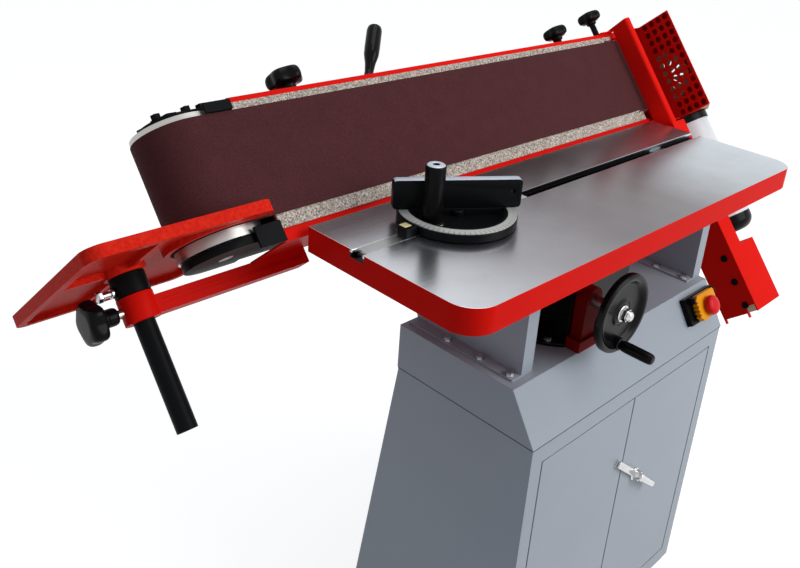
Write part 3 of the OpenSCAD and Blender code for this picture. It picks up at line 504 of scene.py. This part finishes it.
upward = add(tree, "ShaderNodeMath", {1: 0.8}, {0: slope.outputs["Z"]}, operation="GREATER_THAN")
in_slot = add(tree, "ShaderNodeMath", {1: slot_y, 2: slot_half}, {0: where.outputs["Y"]}, operation="COMPARE")
above = add(tree, "ShaderNodeMath", {1: slot_floor}, {0: where.outputs["Z"]}, operation="GREATER_THAN")
inside = add(tree, "ShaderNodeMath", {}, {0: in_slot.outputs[0], 1: above.outputs[0]}, operation="MULTIPLY")
# Painted shade inside the slot, below its top edges, but for one bare patch.
below = add(tree, "ShaderNodeMath", {1: slot_shade_top}, {0: where.outputs["Z"]}, operation="LESS_THAN")
patch = add(tree, "ShaderNodeMath", {1: patch_x, 2: patch_half}, {0: where.outputs["X"]}, operation="COMPARE")
deep = add(tree, "ShaderNodeMath", {}, {0: in_slot.outputs[0], 1: below.outputs[0]}, operation="MULTIPLY")
slot_shade = add(tree, "ShaderNodeMath", {}, {0: deep.outputs[0], 1: patch.outputs[0]}, operation="SUBTRACT",
           use_clamp=True)
slot_shaded = add(tree, "ShaderNodeMix", {"B": linear("#232326")}, {"Factor": slot_shade.outputs[0], "A": bare.outputs[0]},
           data_type="RGBA")
tree.links.new(slot_shaded.outputs["Result"], iron.inputs["Base Color"])
cut = add(tree, "ShaderNodeMath", {}, {0: upward.outputs[0], 1: inside.outputs[0]}, operation="MAXIMUM")
both = add(tree, "ShaderNodeMixShader", {}, {0: cut.outputs[0], 1: paint.outputs[0], 2: iron.outputs[0]})
tree.links.new(both.outputs[0], tree.nodes["Material Output"].inputs["Surface"])
wear(ground_iron, "main_table")
soften(1.0, "main_table")


# Mitre gauge.
# Black cast half disc with a dished middle and a silver degree scale, pivoted on a steel bar in the slot.
# The fence is a black plate with a painted highlight on its top edge; a black lock handle with a painted
# highlight on its end stands in the dish.
mitre_x = -243
mitre_y = 23
at_mitre = shift(mitre_x, mitre_y, 810.3)
on_mitre = at_mitre @ Matrix.Rotation(math.radians(-32.5), 4, "Z")
# Satin enamel: a flat black that still shows a pale line along its edges.
satin_black = finish("satin_black_enamel", "#0E0F11", "#08090A", 40, 0.36, 1.4, 0.03, shine=0.08)
# Painted highlight: a pale cool strip on upward faces, brighter than the black around it.
pale_top_highlight = finish("painted_top_highlight", "#C2CBD8", "#AEB6C2", 20, 0.4, 0.6, 0.01, metal=0.6)
disc_r = 84
section = [(0.5, 0), (disc_r - 1, 0), (disc_r, 1), (disc_r, 11.5), (disc_r - 1, 12.6), (70.5, 12.6),
           (70, 13.8), (66, 13.8), (58, 5.5), (0.5, 5), (0.5, 0)]
bm = bmesh.new()
turned(bm, rounded(section, 0.8, steps=2), 72, Matrix.Rotation(math.pi, 4, "Z"), math.pi)
slab(bm, [(-disc_r, -0.5), (disc_r, -0.5), (82.8, 14), (-82.8, 14)], 0, 14, 0.8)
turned(bm, rounded([(0, 4.5), (9, 4.5), (9, 12), (8, 13.2), (0, 13.2)], 0.8), 40)
piece("dished_half_disc", bm, on_mitre, satin_black, "mitre_head", "black_plastic", "mitre_body")

fence_half = 91.5
fence_high = 42
bm = bmesh.new()
standing = rectangle(-fence_half, 0, fence_half, fence_high)
slab(bm, rounded(standing, 6, True), -14, 0, 0.8, to_front, hole=ring(3, 20, fence_half - 13, 24))
# The fence's top face takes the painted highlight.
piece("gauge_fence", bm, on_mitre @ shift(0, 0, 14), satin_black, "mitre_head", "black_plastic",
      "mitre_fence", accent=pale_top_highlight, where=lambda centre, normal: normal.z > 0.8 and centre.z > fence_high - 2)

lock_place = at_mitre @ shift(-50, 0, 0)
bm = bmesh.new()
bar = [(4.2, 6), (14, 6), (14, 86.5), (13.2, 88.2), (11, 90), (6, 90.4), (4.6, 89.6), (4.6, 82), (0, 82)]
turned(bm, rounded(bar, 0.8), 40)
# The handle's end takes the painted highlight.
piece("lock_handle", bm, lock_place, moulded_black, "mitre_lock", "black_plastic", "mitre_handle",
      accent=pale_top_highlight, where=lambda centre, normal: centre.z > 88.6 and normal.z > 0.5)
bm = bmesh.new()
turned(bm, rounded([(4.2, 5.3), (17, 5.3), (17, 6.6), (15.5, 7.2), (4.2, 7.2), (4.2, 5.3)], 0.5))
piece("lock_washer", bm, lock_place, chrome, "mitre_lock", "chrome_plate")

# Brass plate: a small pale yellow accent at the end of the scale.
pale_brass = finish("pale_brass_plate", "#D6CC92", "#C4BA80", 6, 0.4, 0.5, 0.008, metal=0.3)
bm = bmesh.new()
slab(bm, rounded(rectangle(-106, -9, -86, 9), 2, True), -0.3, 12.8, 0.6)
slab(bm, rounded(rectangle(-106, -6, -94, 6), 1, True), 12.6, 16, 0.5)
piece("gauge_pointer", bm, at_mitre, satin_black, "mitre_slide", "brass_plate", "mitre_pointer",
      accent=pale_brass, where=lambda centre, normal: centre.z > 15.4)
wear(bright_steel, "mitre_bar")
soften(0.5, "mitre_bar")

# Degree scale: a silver band with a dark tick every five degrees around the pivot.
tick_step = 5
tick_share = 0.09
tick_from = 0.0765
scale_centre = (mitre_x / 1000, mitre_y / 1000, 0.8243)
degree_scale = finish("silver_degree_scale", "#C9C9C4", "#B9B8B2", 14, 0.45, 0.5, 0.008, metal=0.35)
tree = degree_scale.node_tree
shader = tree.nodes["Principled BSDF"]
plain = shader.inputs["Base Color"].links[0].from_socket
spot = add(tree, "ShaderNodeTexCoord").outputs["Object"]
from_pivot = add(tree, "ShaderNodeVectorMath", {1: scale_centre}, {0: spot}, operation="SUBTRACT")
flat = add(tree, "ShaderNodeSeparateXYZ", {}, {0: from_pivot.outputs[0]})
angle = add(tree, "ShaderNodeMath", {}, {0: flat.outputs["Y"], 1: flat.outputs["X"]}, operation="ARCTAN2")
turns = add(tree, "ShaderNodeMath", {1: 180 / math.pi / tick_step}, {0: angle.outputs[0]},
            operation="MULTIPLY")
share = add(tree, "ShaderNodeMath", {}, {0: turns.outputs[0]}, operation="FRACT")
tick = add(tree, "ShaderNodeMath", {1: tick_share}, {0: share.outputs[0]}, operation="LESS_THAN")
reach = add(tree, "ShaderNodeVectorMath", {}, {0: from_pivot.outputs[0]}, operation="LENGTH")
outer = add(tree, "ShaderNodeMath", {1: tick_from}, {0: reach.outputs["Value"]}, operation="GREATER_THAN")
mark = add(tree, "ShaderNodeMath", {}, {0: tick.outputs[0], 1: outer.outputs[0]}, operation="MULTIPLY")
inked = add(tree, "ShaderNodeMix", {"B": linear("#2A2A2A")}, {"Factor": mark.outputs[0], "A": plain},
            data_type="RGBA")
tree.links.new(inked.outputs["Result"], shader.inputs["Base Color"])
wear(degree_scale, "mitre_scale")


# Belt head: frame, platen, sanding belt, end blocks and tilt pins.
# The frame is welded red-painted sheet; the platen behind the cloth belt is faced with graphite canvas.
# Dark steel blocks close the gap between the platen and the idler.
head_lean = math.radians(-39.5)
on_head = shift(0, 150, 795) @ Matrix.Rotation(head_lean, 4, "X") @ shift(0, -23, 21.5)
wear(red_paint, "head_frame")
soften(1.2, "head_frame")

# Graphite canvas: a dry beige-grey speckle. The flecks are drawn coarser than the real ones, to show.
graphite, tree, shader, spot = blank("speckled_graphite_canvas", 0.55, 0.25)
flecks = add(tree, "ShaderNodeTexVoronoi", {"Scale": 1 / 0.0018}, {"Vector": spot})
shade = add(tree, "ShaderNodeSeparateColor", {}, {0: flecks.outputs["Color"]})
tone = ramp(tree, shade.outputs[0], (0, "#625A53"), (0.3, "#94887D"), (0.7, "#B2A698"), (1, "#D6CDC2"))
tree.links.new(tone.outputs[0], shader.inputs["Base Color"])
weave = add(tree, "ShaderNodeBump", {"Strength": 0.6, "Distance": 0.0002}, {"Height": shade.outputs[0]})
tree.links.new(weave.outputs[0], shader.inputs["Normal"])
wear(graphite, "platen")

# Abrasive cloth: a dark red-brown, quite matt, with a fine sparkle of grit drawn coarser than the real one.
abrasive, tree, shader, spot = blank("brown_abrasive_cloth", 0.8, 0.1)
cloud = add(tree, "ShaderNodeTexNoise", {"Scale": 1 / 0.03, "Detail": 6.0}, {"Vector": spot})
base = add(tree, "ShaderNodeMix", {"A": linear("#50292B"), "B": linear("#442224")},
           {"Factor": cloud.outputs["Fac"]}, data_type="RGBA")
grit = add(tree, "ShaderNodeTexVoronoi", {"Scale": 1 / 0.0007}, {"Vector": spot})
spark = add(tree, "ShaderNodeSeparateColor", {}, {0: grit.outputs["Color"]})
grain = add(tree, "ShaderNodeMapRange", {"To Min": 0.72, "To Max": 1.28}, {"Value": spark.outputs[0]})
tone = add(tree, "ShaderNodeVectorMath", {}, {0: base.outputs["Result"], 1: grain.outputs[0]},
           operation="MULTIPLY")
rough = add(tree, "ShaderNodeBump", {"Strength": 0.8, "Distance": 0.0003},
            {"Height": grit.outputs["Distance"]})
tree.links.new(tone.outputs[0], shader.inputs["Base Color"])
tree.links.new(rough.outputs[0], shader.inputs["Normal"])
wear(abrasive, "sanding_belt")

# Blackened steel: a dark oily grey with soft lights along its edges.
black_steel = finish("blackened_steel", "#111214", "#0A0B0C", 35, 0.45, 1.5, 0.03, shine=0.05)
wear(black_steel, "end_blocks", "head_bolts")
soften(1.5, "end_blocks")
soften(0.6, "head_bolts")
wear(bright_steel, "pivot_pins")


# Idler end.
# A black steel fork carries the drum on its shaft and bearings, and slides in the frame to tighten the belt.
# The drum is turned bare, with fine lines around it.
wear(black_steel, "idler_yoke")
soften(1.2, "idler_yoke")
wear(bright_steel, "idler_shaft", "idler_bearings")

# Drum steel: a bright band with streaks that run around it.
turned_drum, tree, shader, spot = blank("turned_drum_steel")
shader.inputs["Metallic"].default_value = 1.0
along_axis = add(tree, "ShaderNodeMapping", {"Rotation": (-head_lean, 0.0, 0.0)}, {"Vector": spot})
stretch = add(tree, "ShaderNodeMapping", {"Scale": (1 / 0.2, 1 / 0.2, 1 / 0.0009)},
              {"Vector": along_axis.outputs[0]})
lines = add(tree, "ShaderNodeTexNoise", {"Scale": 1.0, "Detail": 3.0}, {"Vector": stretch.outputs[0]})
tone = add(tree, "ShaderNodeMix", {"A": linear("#8D8B88"), "B": linear("#CFCDC9")},
           {"Factor": lines.outputs["Fac"]}, data_type="RGBA")
sheen = add(tree, "ShaderNodeMapRange", {"To Min": 0.22, "To Max": 0.4}, {"Value": lines.outputs["Fac"]})
ridges = add(tree, "ShaderNodeBump", {"Strength": 0.4, "Distance": 0.00004}, {"Height": lines.outputs["Fac"]})
tree.links.new(tone.outputs["Result"], shader.inputs["Base Color"])
tree.links.new(sheen.outputs[0], shader.inputs["Roughness"])
tree.links.new(ridges.outputs[0], shader.inputs["Normal"])
wear(turned_drum, "idler_drum", "drive_drum")


# Drive.
# A flange motor behind the head turns the drive drum through a rubber belt over a red sheet tray.
# All of it is hidden from the front.

# Motor paint: a plain mid grey, a little rough over the cast ribs.
motor_paint = finish("grey_motor_paint", "#646B72", "#5A6168", 60, 0.45, 1.8, 0.05, shine=0.3)
wear(bright_steel, "drive_shaft", "drive_bearings", "motor_rotor")
wear(rubber, "v_belt")
wear(motor_paint, "motor_body")
soften(1.0, "motor_body")
wear(red_paint, "drive_cover")
soften(0.8, "drive_cover")


# Stop, grille, dust hood and duct.
# Red-painted sheet: the stop's front edge is folded over a wide radius, and the grille is punched.
# A pale outlet pipe with a black end hangs beside the stepped duct; a slotted guard sits in the hood's vent.
stop_x = 442
stop_out = -40
stop_low = -48
stop_sheet = 3
stop_lip = 14
stop_bend = 10
fold_y = -2
frame_top = 168.7
above_frame = 20
tab_wide = 40
tab_back = 34
tab_thick = 2
knob_at = (420, 22)
bm = bmesh.new()
bend = rounded([(stop_x, tab_back), (stop_x, stop_out), (stop_x + stop_lip, stop_out)], stop_bend, steps=8)
points = [bm.verts.new((x, y, stop_low)) for x, y in bend]
line = [bm.edges.new(pair) for pair in zip(points, points[1:])]
grown = bmesh.ops.extrude_edge_only(bm, edges=line)["geom"]
raised = [item for item in grown if isinstance(item, bmesh.types.BMVert)]
bmesh.ops.translate(bm, verts=raised, vec=(0, 0, frame_top - stop_low + above_frame))
# Two cuts part the plate from the tab behind it, and two more slope the top down to the back.
for spot_on, normal, trim in [
    ((0, fold_y, 0), (0, 1, 0), False),
    ((0, 0, frame_top), (0, 0, 1), False),
    ((0, 22, frame_top + 5.5), (0, 4.5, 62), True),
    ((0, tab_back, frame_top + 2), (0, 3.5, 12), True),
]:
    bmesh.ops.bisect_plane(bm, geom=bm.verts[:] + bm.edges[:] + bm.faces[:], plane_co=spot_on,
                           plane_no=normal, clear_outer=trim)
behind = [face for face in bm.faces
          if face.calc_center_median().y > fold_y and face.calc_center_median().z < frame_top]
bmesh.ops.delete(bm, geom=behind, context="FACES")
bmesh.ops.recalc_face_normals(bm, faces=bm.faces)
bmesh.ops.solidify(bm, geom=bm.faces[:], thickness=stop_sheet)
slab(bm, rectangle(stop_x - tab_wide, fold_y, stop_x + stop_sheet, tab_back),
     frame_top, frame_top + tab_thick, 0.4, hole=ring(6.2, 32, *knob_at))
piece("folded_stop", bm, on_head, red_paint, "head", "red_paint", "work_stop")

wear(red_paint, "grille", "dust_hood", "dust_duct")
soften(0.4, "grille")
soften(1.5, "dust_hood")
soften(1.8, "dust_duct")

# Pale pipe: a cool off-white plastic with a broad soft sheen.
pale_pipe = finish("pale_grey_pipe", "#E2E4E6", "#D8DADD", 50, 0.35, 0.9, 0.01, shine=0.3)
hood_low = -39
pipe_low = -266
port_r = 50
bore_r = port_r - 2.2
collar_r = port_r + 3
collar_low = hood_low - 16
pipe_place = on_head @ shift(589, 28, 0)
pipe = [(bore_r, pipe_low), (port_r, pipe_low), (port_r, collar_low), (collar_r, collar_low),
        (collar_r, hood_low), (bore_r, hood_low), (bore_r, pipe_low)]
bm = bmesh.new()
turned(bm, pipe, 72)
piece("outlet_pipe", bm, pipe_place, pale_pipe, "head", "pale_plastic", "dust_port",
      accent=moulded_black, where=lambda centre, normal: centre.z > collar_low - 0.5)
end_low = pipe_low - 34
neck_r = port_r - 2.3
neck_high = pipe_low + 14
mouth_wall = 3
dome_r = 25
dome_steps = 12
dome = [(port_r - dome_r + dome_r * math.sin(turn), end_low + dome_r - dome_r * math.cos(turn))
        for turn in (math.pi / 2 * step / dome_steps for step in range(dome_steps + 1))]
mouth = dome + [(port_r, pipe_low), (neck_r, pipe_low), (neck_r, neck_high), (neck_r - mouth_wall, neck_high),
                (neck_r - mouth_wall, end_low + dome_r), (port_r - dome_r, end_low + 4), dome[0]]
bm = bmesh.new()
turned(bm, mouth, 72)
piece("pipe_mouth", bm, pipe_place, moulded_black, "head", "black_plastic", "outlet_spigot")

# Cream: a dry, even pale cream on the thin linings and on the vent's guard.
dry_cream = finish("dry_pale_cream", "#F2D9BC", "#E6C6A2", 30, 0.85, 0.8, 0.03, shine=0.03)
spoke = [(14.8, -2.2), (42, -9.4), (42, 9.4), (14.8, 2.2)]
spokes = 12
guard_r = 54
guard_hole = 41
guard_hub = 17
bm = bmesh.new()
slab(bm, ring(guard_r, 64), -1.5, 1.5, 0.6, hole=ring(guard_hole, 64))
slab(bm, ring(guard_hub, 40), -1.5, 1.5, 0.6)
for turn in range(spokes):
    slab(bm, spoke, -1.2, 1.2, 0.4, Matrix.Rotation(turn * math.tau / spokes, 4, "Z"))
vent_place = on_head @ shift(636.6, 45, 62) @ to_right
piece("vent_guard", bm, vent_place, dry_cream, "head", "pale_plastic")
under_hood = [(546, -68.5), (634, -13.5), (634, -12), (600, -27), (546, -48)]
bm = bmesh.new()
slab(bm, under_hood, hood_low - 1.4, hood_low, 0.3)
piece("hood_lining", bm, on_head, dry_cream, "head", "pale_plastic")
duct_low = -447
behind_notch = rectangle(445, -36.3, 446.6, -14)
bm = bmesh.new()
slab(bm, behind_notch, duct_low + 0.5, duct_low + 18, 0.3)
piece("duct_lining", bm, on_head, dry_cream, "head", "pale_plastic")


# Controls on top of the head.
# Moulded black star knobs on dark stems for tracking, for the platen's stop rail and for the work stop.
# The tension lever is a flat steel arm with a black grip that swells towards its end.
def star(bm, radius, height, foot):
    """Spins a thick knob about Z and draws its rim in between its lobes, standing on foot."""
    lobes = 5
    draw = 0.2
    fresh = bmesh.new()
    levels = [(0, -0.25), (0.4, -0.25), (0.43, 0.04), (0.62, 0.1), (0.9, 0.14), (0.98, 0.3), (1, 0.5),
              (0.97, 0.74), (0.86, 0.92), (0.62, 1), (0, 1)]
    turned(fresh, rounded([(radius * share, foot + height * level) for share, level in levels], 2.5), 90)
    for vert in fresh.verts:
        reach = math.hypot(vert.co.x, vert.co.y) / radius
        waist = draw * reach ** 3 * (0.5 - 0.5 * math.cos(lobes * math.atan2(vert.co.y, vert.co.x)))
        vert.co.x *= 1 - waist
        vert.co.y *= 1 - waist
    join(bm, fresh, Matrix.Identity(4))


stem_r = 5.9
for knob, at, down, rise, radius, height in [
    ("tracking_knob", (-331, 37), 20, 13, 29, 25),
    ("stop_knob", (284, 15), 20, 11, 24, 20),
    ("guard_knob", knob_at, 11, 34, 24, 20),
]:
    place = on_head @ shift(*at, frame_top)
    bm = bmesh.new()
    star(bm, radius, height, rise)
    piece(knob + "_star", bm, place, moulded_black, knob, "black_plastic", knob)
    bm = bmesh.new()
    turned(bm, rounded(rectangle(0, -down, stem_r, rise - 2), 0.8), 32)
    piece(knob + "_stem", bm, place, black_steel, knob, "black_steel")

# Polished plastic: a wet black that catches the lamps in narrow streaks.
polished_black = finish("polished_black_plastic", "#0A0A0B", "#060607", 30, 0.08, 0.9, 0.008, shine=0.1)
lever_place = on_head @ shift(-226, 30, 115) @ Matrix.Rotation(math.radians(34.5), 4, "Y")
swell = [(0, 64), (7.4, 64), (7.6, 70), (7, 80), (8.4, 96), (11.8, 112), (12.3, 125), (12.3, 160),
         (10.5, 167), (0, 168)]
bm = bmesh.new()
turned(bm, rounded(swell, 3), 40)
piece("lever_grip", bm, lever_place, polished_black, "tension_lever", "black_plastic", "tension_lever")
bm = bmesh.new()
slab(bm, rounded(rectangle(-6, 0, 6, 68), 1, True), -3, 3, 0.5, to_front)
turned(bm, rounded([(5.1, -3), (11, -3), (11, 3), (5.1, 3), (5.1, -3)], 0.6), 40, to_front)
piece("lever_arm", bm, lever_place, black_steel, "tension_lever", "black_steel")


# End table.
# Small red casting in hammered enamel on a black steel post that is clamped in an arm beside the idler.
# A zinc-plated bolt locks the table to its collar and a star knob clamps the post.

# Hammered enamel: a red skin of shallow dimples whose crests are paler than their floors; the paler crests
# are a painted highlight.
hammered, tree, shader, spot = blank("hammered_red_enamel", 0.4, 0.015)
cells = add(tree, "ShaderNodeTexVoronoi", {"Scale": 1 / 0.0042}, {"Vector": spot}, feature="SMOOTH_F1")
ripple = add(tree, "ShaderNodeTexNoise", {"Scale": 1 / 0.0016, "Detail": 3.0}, {"Vector": spot})
height = add(tree, "ShaderNodeMath", {1: 0.35}, {0: ripple.outputs["Fac"], 2: cells.outputs["Distance"]},
             operation="MULTIPLY_ADD")
tone = add(tree, "ShaderNodeMix", {"A": linear("#CC130B"), "B": linear("#E2301F")},
           {"Factor": height.outputs[0]}, data_type="RGBA")
dimple = add(tree, "ShaderNodeBump", {"Strength": 0.55, "Distance": 0.0006}, {"Height": height.outputs[0]})
tree.links.new(tone.outputs["Result"], shader.inputs["Base Color"])
tree.links.new(dimple.outputs[0], shader.inputs["Normal"])
wear(hammered, "end_table")
soften(2.5, "end_table")
wear(red_paint, "end_arm")
soften(2.5, "end_arm")

post_place = on_head @ shift(-627, 105, 0)
hub_low = -2
post = [(0, -208), (11, -208), (11, -210), (13.5, -210), (13.5, -29), (22.5, -29), (22.5, hub_low),
        (0, hub_low)]
bm = bmesh.new()
turned(bm, rounded(post, 1.2), 64)
piece("table_post", bm, post_place, black_steel, "end_table", "black_steel", "end_post")
to_left = Matrix.Rotation(math.radians(-90), 4, "Y")
bm = bmesh.new()
turned(bm, rounded(rectangle(0, 10, 4, 40), 0.4), 24)
turned(bm, rounded([(4, 24), (7, 24), (7, 27), (4, 27), (4, 24)], 0.5), 24)
slab(bm, ring(7.5, 6), 38, 44, 0.7)
piece("collar_bolt", bm, post_place @ shift(0, 0, -19) @ to_left, zinc, "end_table", "zinc_plated")

knob_place = on_head @ shift(-640.8, 105, -47) @ to_left
bm = bmesh.new()
star(bm, 30, 24, 34)
turned(bm, rounded([(6, 16), (10, 16), (11.5, 20), (11.5, 30), (6, 30)], 1.5), 40)
piece("end_knob_star", bm, knob_place, moulded_black, "end_knob", "black_plastic", "end_knob")
bm = bmesh.new()
turned(bm, rounded(rectangle(0, 0, stem_r, 30), 0.8), 32)
piece("end_knob_stem", bm, knob_place, bright_steel, "end_knob", "bright_steel")
